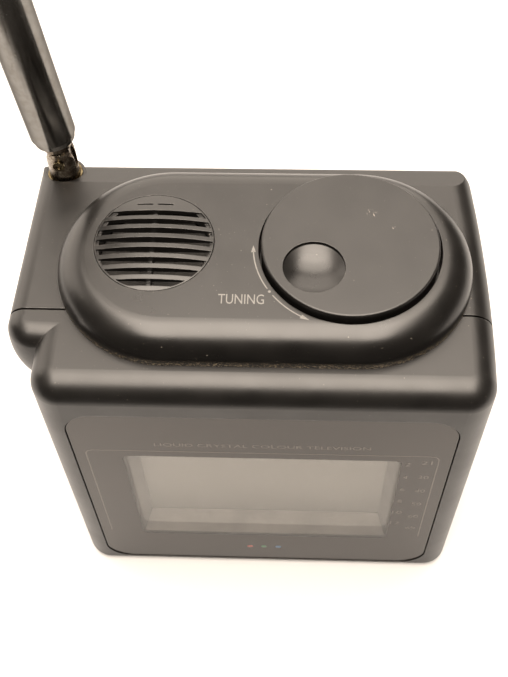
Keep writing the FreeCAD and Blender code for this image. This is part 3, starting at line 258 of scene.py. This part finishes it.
def front_pane(window):
    """Clear pane whose outer face is printed dark brown round the window."""
    n = Nodes("front_panel_looks")
    low_x, low_z, high_x, high_z = window
    corner = 1.9 * MM
    edge = 0.12 * MM
    out_x = beyond(n, 0, low_x + corner, high_x - corner)
    out_z = beyond(n, 2, low_z + corner, high_z - corner)
    squares = n.math("ADD", n.math("MULTIPLY", out_x, out_x), n.math("MULTIPLY", out_z, out_z))
    outer_face = PANEL_FACE * MM
    # behind its outer face the pane stays clear a little further out than the window
    cleared = n.ramp(n.axis(1), outer_face + 0.15 * MM, outer_face + 0.25 * MM, 0.0, 4.2 * MM)
    reach = n.math("SUBTRACT", n.math("SQRT", squares), cleared)
    printed = n.ramp(reach, corner - edge, corner + edge)
    patches = n.noise(14, 3)
    fine = n.noise(0.3, 2)
    scratches = n.noise(0.6, 4, 0.7, (1, 1, 0.08), 0.4)
    tone = n.mix(n.ramp(patches, 0.3, 0.7), (0.018, 0.014, 0.011), (0.022, 0.017, 0.0135))
    tone = n.mix(n.ramp(n.noise(0.5, 2, 0.5), 0.72, 0.8, 0.0, 0.35), tone, (0.1, 0.095, 0.085))
    roughness = n.ramp(n.math("ADD", patches, n.math("MULTIPLY", scratches, 0.4)), 0.4, 1.0, 0.13, 0.2)
    normal = n.bump(fine, 0.004, 0.35)
    solid = n.shade(tone, roughness, normal, Specular_IOR_Level=0.33)
    clear = n.new("ShaderNodeBsdfTransparent")
    clear.inputs["Color"].default_value = (0.86, 0.85, 0.83, 1.0)
    gloss = n.new("ShaderNodeBsdfGlossy")
    gloss.inputs["Color"].default_value = (1, 1, 1, 1)
    n.link(n.ramp(scratches, 0.4, 0.8, 0.04, 0.09), gloss.inputs["Roughness"])
    facing = n.new("ShaderNodeLayerWeight").outputs["Facing"]
    head_on = 0.04
    mirrored = n.math("ADD", n.math("MULTIPLY", n.math("POWER", facing, 5.0), 1 - head_on), head_on)
    pane = n.new("ShaderNodeMixShader")
    n.link(mirrored, pane.inputs[0])
    n.link(clear.outputs[0], pane.inputs[1])
    n.link(gloss.outputs[0], pane.inputs[2])
    both = n.new("ShaderNodeMixShader")
    n.link(printed, both.inputs[0])
    n.link(pane.outputs[0], both.inputs[1])
    n.link(solid, both.inputs[2])
    return n.finish(both.outputs[0])


def liquid_crystal():
    """Grey polarised picture glass with faint cells and clouding."""
    n = Nodes("picture_looks")
    cells = n.noise(0.25, 1)
    cloudy = n.noise(12, 3)
    tone = n.mix(n.ramp(cloudy, 0.3, 0.7), (0.262, 0.26, 0.256), (0.286, 0.284, 0.28))
    tone = n.mix(n.ramp(cells, 0.3, 0.7, 0.0, 0.12), tone, (0.22, 0.215, 0.21))
    return n.finish(n.shade(tone, n.ramp(cloudy, 0.3, 0.7, 0.3, 0.4), n.bump(cells, 0.002, 0.4)))


def print_ink(name, colour, rough=0.5):
    """Screen-printed ink with small gaps and uneven cover."""
    n = Nodes(name)
    gaps = n.ramp(n.noise(0.35, 3), 0.3, 0.5)
    tone = n.mix(gaps, [c * 0.72 for c in colour], colour)
    roughness = n.ramp(gaps, 0, 1, rough + 0.06, rough)
    return n.finish(n.shade(tone, roughness, n.bump(n.noise(0.3, 2), 0.004, 0.35)))


def paper(name):
    """Dark speaker paper with fibres."""
    n = Nodes(name)
    fibres = n.noise(0.5, 5, 0.7, (1, 1, 1), 0.6)
    tone = n.mix(n.ramp(fibres, 0.3, 0.7), (0.01, 0.0095, 0.009), (0.03, 0.028, 0.026))
    return n.finish(n.shade(tone, n.ramp(fibres, 0.3, 0.7, 0.75, 0.95), n.bump(fibres, 0.05)))


def frosted(name, colour):
    """Milky plastic or glass with slight clouding."""
    n = Nodes(name)
    cloudy = n.noise(1.5, 3)
    tone = n.mix(n.ramp(cloudy, 0.3, 0.7), [c * 0.9 for c in colour], colour)
    return n.finish(n.shade(tone, n.ramp(cloudy, 0.3, 0.7, 0.35, 0.5), n.bump(n.noise(0.3, 2), 0.004)))


BLACK = (0.0036, 0.0032, 0.0029)
case_looks = plastic("case_looks", BLACK, 0.37, dust=0.35)
cover_looks = plastic("cover_looks", BLACK, 0.3, dust=0.5, dirt=(COVER_FOOT, GRIME_TOP))
dial_looks = plastic(
    "dial_looks", BLACK, 0.34, dust=0.3,
    scuffed=[((22.6, 7.2, DIAL_TOP), 1.5), ((27.0, 3.4, DIAL_TOP), 0.6)],
    polished_spot=((DISH_X, DISH_Y, DISH_LOW), 7.5),
)
control_looks = plastic("control_looks", (0.012, 0.012, 0.012), 0.42)
bezel_looks = plastic("bezel_looks", (0.17, 0.164, 0.156), 0.5, wear=(0.2, 0.195, 0.185))
white_looks = frosted("white_looks", (0.78, 0.78, 0.74))
rubber_looks = plastic("rubber_looks", (0.02, 0.02, 0.02), 0.75, 0.4, 0.02)
cell_looks = metal("cell_looks", (0.09, 0.1, 0.14), 0.3, (1, 1, 0.2), 0.6, metallic=0.7)
chrome_looks = metal(
    "chrome_looks", (0.235, 0.229, 0.218), 0.2, (1, 1, 0.04), 0.5,
    stain=(0.12, 0.1, 0.08), stain_share=0.25, edge=0.35,
)
brass_looks = metal(
    "brass_looks", (0.3, 0.27, 0.22), 0.28, size=0.5,
    stain=(0.09, 0.065, 0.045), stain_share=0.9, depth=0.02,
)
ring_looks = metal(
    "ring_looks", (0.2, 0.165, 0.095), 0.26, size=0.5,
    stain=(0.05, 0.035, 0.02), stain_share=0.9, depth=0.015,
)
steel_looks = metal("steel_looks", (0.5, 0.5, 0.49), 0.3, (1, 1, 0.3), 0.4)
spring_looks = metal("spring_looks", (0.55, 0.53, 0.48), 0.22)
screw_looks = metal("screw_looks", (0.12, 0.12, 0.12), 0.32, stain=(0.25, 0.18, 0.1), stain_share=0.3)
basket_looks = metal("basket_looks", (0.03, 0.03, 0.031), 0.45)
can_looks = metal("can_looks", (0.6, 0.6, 0.62), 0.25)
ceramic_looks = plastic("ceramic_looks", (0.04, 0.04, 0.042), 0.6, 0.5, 0.03)

LOOKS = {
    "case_plastic": case_looks,
    "cover_plastic": cover_looks,
    "dial_plastic": dial_looks,
    "smoked_panel": front_pane([edge * MM for edge in WINDOW]),
    "sheet_steel": steel_looks,
    "picture_glass": liquid_crystal(),
    "bezel_plastic": bezel_looks,
    "white_plastic": white_looks,
    "lamp_glass": frosted("lamp_looks", (0.85, 0.85, 0.8)),
    "circuit_board": board("board_looks"),
    "component_plastic": control_looks,
    "capacitor_can": can_looks,
    "screw_steel": screw_looks,
    "speaker_paper": paper("paper_looks"),
    "magnet_ceramic": ceramic_looks,
    "control_plastic": control_looks,
    "spring_steel": spring_looks,
    "cell_wrap": cell_looks,
    "jack_plastic": control_looks,
    "worn_brass": brass_looks,
    "bright_chrome": chrome_looks,
    "pad_rubber": rubber_looks,
}
# nodes that look different from the rest of their slot
NODE_LOOKS = {"aerial_rivet": ring_looks, "aerial_bush": ring_looks, "speaker_basket": basket_looks}

slots = {part["node"]: part["material_slot"] for part in frame["record"]["subparts"]}
for name, item in nodes.items():
    item.data.materials.clear()
    item.data.materials.append(NODE_LOOKS.get(name, LOOKS[slots[name]]))


# ---------------------------------------------------------------- printed marks

RAY_START = 70


def on_cover(x, y):
    """Place on the raised cover's top or on its rounded edge."""
    out = math.hypot(max(abs(x) - COVER_HALF, 0.0), y - COVER_Y) - (COVER_END - COVER_ROUND)
    fall = COVER_ROUND - math.sqrt(COVER_ROUND ** 2 - out ** 2) if out > 0 else 0.0
    return Vector((x, y, COVER_TOP - fall + INK_LIFT)) * MM


def on_panel(x, z):
    """Place on the face of the front panel."""
    return Vector((x, PANEL_FACE - INK_LIFT, z)) * MM


def on_shell(away, sideways, height, out):
    """Place on the rear shell, seen from outside along -out, sideways to the right of the origin."""
    shell = nodes["rear_shell"]
    inverse = shell.matrix_world.inverted()
    start = (sideways * away + Vector((0, 0, height)) + out * RAY_START) * MM
    hit, place, _, _ = shell.ray_cast(inverse @ start, inverse.to_3x3() @ -out)
    if not hit:
        raise ValueError(f"no shell at {start}")
    return shell.matrix_world @ place + out * SIDE_LIFT * MM


def on_right(y, z):
    return on_shell(y, Vector((0, 1, 0)), z, Vector((1, 0, 0)))


def on_left(y, z):
    return on_shell(y, Vector((0, -1, 0)), z, Vector((-1, 0, 0)))


def on_back(x, z):
    return on_shell(x, Vector((-1, 0, 0)), z, Vector((0, 1, 0)))


def printed(name, outlines, where, looks, slot):
    """Flat piece made of outlines laid on a face."""
    bm = bmesh.new()
    for outline in outlines:
        bm.faces.new([bm.verts.new(where(a, b)) for a, b in outline])
    mesh = bpy.data.meshes.new(name)
    bm.to_mesh(mesh)
    bm.free()
    mesh.materials.append(looks)
    item = bpy.data.objects.new(name, mesh)
    bpy.context.scene.collection.objects.link(item)
    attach(item, ROOT_BODY)
    return item


def letters(words, left, right, low, high):
    """Outlines of the words, fitted between the given edges."""
    curve = bpy.data.curves.new("letters", "FONT")
    curve.body = words
    curve.resolution_u = 3
    probe = bpy.data.objects.new("letters", curve)
    bpy.context.scene.collection.objects.link(probe)
    bpy.context.view_layer.update()
    mesh = bpy.data.meshes.new_from_object(probe.evaluated_get(bpy.context.evaluated_depsgraph_get()))
    bpy.data.objects.remove(probe)
    points = [v.co.copy() for v in mesh.vertices]
    x0, x1 = min(p.x for p in points), max(p.x for p in points)
    y0, y1 = min(p.y for p in points), max(p.y for p in points)

    def fitted(p):
        return left + (p.x - x0) / (x1 - x0) * (right - left), low + (p.y - y0) / (y1 - y0) * (high - low)

    outlines = [[fitted(points[i]) for i in polygon.vertices] for polygon in mesh.polygons]
    bpy.data.meshes.remove(mesh)
    return outlines


ARC_ROUND = 20.2


def arc_strip(start, end, half_width):
    """Short four-sided outlines along the tuning arc, from start to end in degrees."""
    steps = max(2, round(abs(end - start) / 2))
    rim = []
    for i in range(steps + 1):
        turn = math.radians(start + (end - start) * i / steps)
        rim.append([
            (DIAL_X + r * math.cos(turn), DIAL_Y + r * math.sin(turn))
            for r in (ARC_ROUND - half_width, ARC_ROUND + half_width)
        ])
    return [[rim[i][0], rim[i][1], rim[i + 1][1], rim[i + 1][0]] for i in range(steps)]


def arrow_head(base, tip, half_width):
    """Triangle on the tuning arc that narrows from base to tip, both in degrees."""
    corners = []
    for turn, r in ((base, ARC_ROUND - half_width), (base, ARC_ROUND + half_width), (tip, ARC_ROUND)):
        angle = math.radians(turn)
        corners.append((DIAL_X + r * math.cos(angle), DIAL_Y + r * math.sin(angle)))
    return corners if tip > base else corners[::-1]


def disc(x, y, radius, count=20):
    """Outline of a round dot."""
    turns = [2 * math.pi * i / count for i in range(count)]
    return [(x + radius * math.cos(a), y + radius * math.sin(a)) for a in turns]


def bar(x0, y0, x1, y1):
    """Outline of a rectangle between two corners."""
    return [(x0, y0), (x1, y0), (x1, y1), (x0, y1)]


def corner_strip(x, z, radius, start, width):
    """Quarter of a ring that joins two lines of the printed frame."""
    rim = []
    for i in range(7):
        turn = math.radians(start + 15 * i)
        rim.append([(x + r * math.cos(turn), z + r * math.sin(turn)) for r in (radius - width, radius)])
    return [[rim[i][0], rim[i][1], rim[i + 1][1], rim[i + 1][0]] for i in range(6)]


white_ink = print_ink("white_ink", (0.115, 0.111, 0.105), 0.38)
faint_ink = print_ink("faint_ink", (0.072, 0.062, 0.051), 0.17)
red_ink = print_ink("red_ink", (0.2, 0.05, 0.04), 0.17)
green_ink = print_ink("green_ink", (0.035, 0.1, 0.05), 0.17)
blue_ink = print_ink("blue_ink", (0.035, 0.08, 0.14), 0.17)

# the arc is in degrees round the dial, the word in millimetres: left, right, low, high
ARC_LINE, ARROW_HALF, DOT_ROUND = 0.13, 0.5, 0.3
DOT_TURN = math.radians(214.9)
TUNING_WORD = (-8.9, 0.4, -15.1, -12.7)
arc_marks = arc_strip(184, 212.6, ARC_LINE) + arc_strip(218, 240.5, ARC_LINE)
arc_marks += [arrow_head(184.5, 179.5, ARROW_HALF), arrow_head(240, 245.5, ARROW_HALF)]
dot_x, dot_y = DIAL_X + ARC_ROUND * math.cos(DOT_TURN), DIAL_Y + ARC_ROUND * math.sin(DOT_TURN)
arc_marks.append(disc(dot_x, dot_y, DOT_ROUND))
printed("tuning_arc_print", arc_marks, on_cover, white_ink, "cover_plastic")
printed("tuning_word_print", letters("TUNING", *TUNING_WORD), on_cover, white_ink, "cover_plastic")

FRAME_LEFT, FRAME_RIGHT, FRAME_TOP, FRAME_LOW, FRAME_CORNER, FRAME_LINE = -39.3, 39.1, 65.7, 20.0, 2.0, 0.24
frame_marks = [
    bar(FRAME_LEFT, FRAME_LOW, FRAME_LEFT + FRAME_LINE, FRAME_TOP - FRAME_CORNER),
    bar(FRAME_RIGHT - FRAME_LINE, FRAME_LOW, FRAME_RIGHT, FRAME_TOP - FRAME_CORNER),
    bar(FRAME_LEFT + FRAME_CORNER, FRAME_TOP - FRAME_LINE, FRAME_RIGHT - FRAME_CORNER, FRAME_TOP),
]
for x, start in ((FRAME_LEFT + FRAME_CORNER, 90), (FRAME_RIGHT - FRAME_CORNER, 0)):
    frame_marks += corner_strip(x, FRAME_TOP - FRAME_CORNER, FRAME_CORNER, start, FRAME_LINE)
printed("panel_line_print", frame_marks, on_panel, faint_ink, "smoked_panel")
TITLE = (-23.5, 23.7, 67.8, 69.5)
title = letters("LIQUID CRYSTAL COLOUR TELEVISION", *TITLE)
printed("panel_title_print", title, on_panel, faint_ink, "smoked_panel")


DIGIT_HALF, DIGIT_HALF_WIDTH = 0.85, 0.6


def number_column(numbers, middle, top, pitch):
    """Outlines of a column of channel numbers, from its top number down."""
    outlines = []
    for index, words in enumerate(numbers):
        z = top - pitch * index
        half_width = DIGIT_HALF_WIDTH * len(words)
        outlines += letters(words, middle - half_width, middle + half_width, z - DIGIT_HALF, z + DIGIT_HALF)
    return outlines


scale_marks = number_column(("2", "4", "6", "8", "10", "12"), 32.4, 61.5, 6.6)
scale_marks += number_column(("21", "30", "40", "50", "60", "69"), 36.5, 62.5, 7.4)
printed("channel_numbers_print", scale_marks, on_panel, faint_ink, "smoked_panel")
COLOUR_MARK_HEIGHT, COLOUR_MARK_ROUND = 10.7, 0.8
for name, x, looks in (("red", -3.9, red_ink), ("green", -0.3, green_ink), ("blue", 3.5, blue_ink)):
    mark = disc(x, COLOUR_MARK_HEIGHT, COLOUR_MARK_ROUND)
    printed(f"{name}_mark_print", [mark], on_panel, looks, "smoked_panel")


# labels by the controls: start and end along the face, then the middle's height
LABEL_HALF = 0.7
SIDE_LABELS = {
    "right": (on_right, {
        "VOLUME": (8.5, 16.5, 62.0), "BRIGHT": (8.5, 16.0, 40.0),
        "ON": (10.8, 13.6, 30.7), "OFF": (10.4, 14.0, 15.3),
    }),
    "left": (on_left, {
        "EARPHONE": (-2.5, 7.5, 48.0), "VIDEO IN": (-2.5, 6.0, 35.0), "DC IN": (-2.5, 3.0, 22.0),
    }),
    "back": (on_back, {"UHF": (-26.5, -22.5, 77.1), "VHF": (-16.5, -12.5, 77.1)}),
}
side_ink = print_ink("side_ink", (0.24, 0.235, 0.22), 0.4)
for face, (where, labels) in SIDE_LABELS.items():
    label_marks = []
    for words, (start, end, height) in labels.items():
        label_marks += letters(words, start, end, height - LABEL_HALF, height + LABEL_HALF)
    printed(f"{face}_labels_print", label_marks, where, side_ink, "case_plastic")


# ---------------------------------------------------------------- light, floor, camera


def area_light(name, place, aim, size, power, colour):
    """Soft rectangular light at a place, turned to its aim and unseen by the camera."""
    data = bpy.data.lights.new(name, "AREA")
    data.shape = "RECTANGLE"
    data.size, data.size_y = size
    data.energy = power
    data.color = colour
    lamp = bpy.data.objects.new(name, data)
    lamp.location = place
    lamp.visible_camera = False
    lamp.rotation_euler = (Vector(aim) - Vector(place)).to_track_quat("-Z", "Y").to_euler()
    bpy.context.scene.collection.objects.link(lamp)


def floor_looks():
    """Plain pale floor with barely visible clouding."""
    n = Nodes("floor_looks")
    tone = n.mix(n.noise(300, 2), (0.52, 0.525, 0.535), (0.53, 0.535, 0.545))
    return n.finish(n.shade(tone, 0.85))


def floor_piece(name, left, near, right, far, looks):
    """Part of the floor between the given edges."""
    bm = bmesh.new()
    corners = [(left, near), (right, near), (right, far), (left, far)]
    bm.faces.new([bm.verts.new((x, y, 0)) for x, y in corners])
    mesh = bpy.data.meshes.new(name)
    bm.to_mesh(mesh)
    bm.free()
    mesh.materials.append(looks)
    item = bpy.data.objects.new(name, mesh)
    bpy.context.scene.collection.objects.link(item)
    return item


# the camera sees only the evenly lit middle of the floor; the part in front of the
# object gives no reflections, so that the front keeps its contrast
FLOOR_REACH, FLOOR_SHOWN, FLOOR_MIRRORED = 4.0, 0.45, -0.12
pale = floor_looks()
across = (-FLOOR_REACH, -FLOOR_SHOWN, FLOOR_SHOWN, FLOOR_REACH)
along = (-FLOOR_REACH, -FLOOR_SHOWN, FLOOR_MIRRORED, FLOOR_SHOWN, FLOOR_REACH)
for column, (left, right) in enumerate(zip(across, across[1:])):
    for row, (near, far) in enumerate(zip(along, along[1:])):
        floor = floor_piece(f"studio_floor_{column}_{row}", left, near, right, far, pale)
        floor.visible_camera = column == 1 and row in (1, 2)
        floor.visible_glossy = near >= FLOOR_MIRRORED

WARM = (1.14, 1.0, 0.86)
area_light("zenith_softbox", (0, -0.29, 1.1), (0, -0.29, 0), (1.0, 1.04), 38, WARM)
area_light("rear_softbox", (0, 0.41, 1.1), (0, 0.2, 0.1), (1.1, 0.36), 9.4, WARM)
area_light("far_softbox", (0, 0.86, 1.1), (0, 0.2, 0.1), (1.1, 0.5), 3.2, WARM)
area_light("low_rear_panel", (0, 1.25, 0.65), (0, 0, 0.08), (1.3, 1.0), 13, WARM)
area_light("left_panel", (-1.0, 0.62, 0.5), (0, 0, 0.08), (1.0, 1.0), 9, WARM)


def studio_world():
    """Dim surroundings for the object, a plain white backdrop for the camera."""
    world = bpy.data.worlds.new("studio_world")
    world.use_nodes = True
    tree = world.node_tree
    dim = tree.nodes["Background"]
    dim.inputs["Color"].default_value = (0.12, 0.105, 0.09, 1)
    dim.inputs["Strength"].default_value = 1.0
    plain = tree.nodes.new("ShaderNodeBackground")
    plain.inputs["Color"].default_value = (1, 1, 1, 1)
    rays = tree.nodes.new("ShaderNodeLightPath")
    mix = tree.nodes.new("ShaderNodeMixShader")
    tree.links.new(rays.outputs["Is Camera Ray"], mix.inputs[0])
    tree.links.new(dim.outputs[0], mix.inputs[1])
    tree.links.new(plain.outputs[0], mix.inputs[2])
    tree.links.new(mix.outputs[0], tree.nodes["World Output"].inputs["Surface"])
    bpy.context.scene.world = world


studio_world()

LENS, SENSOR_WIDTH = 56.24, 36
CAMERA_PLACE = (6.2 * MM, -135.4 * MM, 275.0 * MM)
ELEVATION, YAW, ROLL = (math.radians(v) for v in (57.42, -3.83, -2.25))


def camera():
    """Camera above and in front, looking down at the cover and the panel."""
    data = bpy.data.cameras.new("camera")
    data.sensor_width = SENSOR_WIDTH
    data.lens = LENS
    data.clip_start = 0.01
    data.clip_end = 30
    item = bpy.data.objects.new("camera", data)
    level_share = math.cos(ELEVATION)
    ahead = Vector((math.sin(YAW) * level_share, math.cos(YAW) * level_share, -math.sin(ELEVATION)))
    level = Vector((math.cos(YAW), -math.sin(YAW), 0))
    raised = level.cross(ahead)
    right = math.cos(ROLL) * level + math.sin(ROLL) * raised
    up = -math.sin(ROLL) * level + math.cos(ROLL) * raised
    item.matrix_world = Matrix.Translation(CAMERA_PLACE) @ Matrix((right, up, -ahead)).transposed().to_4x4()
    bpy.context.scene.collection.objects.link(item)
    bpy.context.scene.camera = item


camera()
bpy.context.scene.view_settings.view_transform = "Standard"
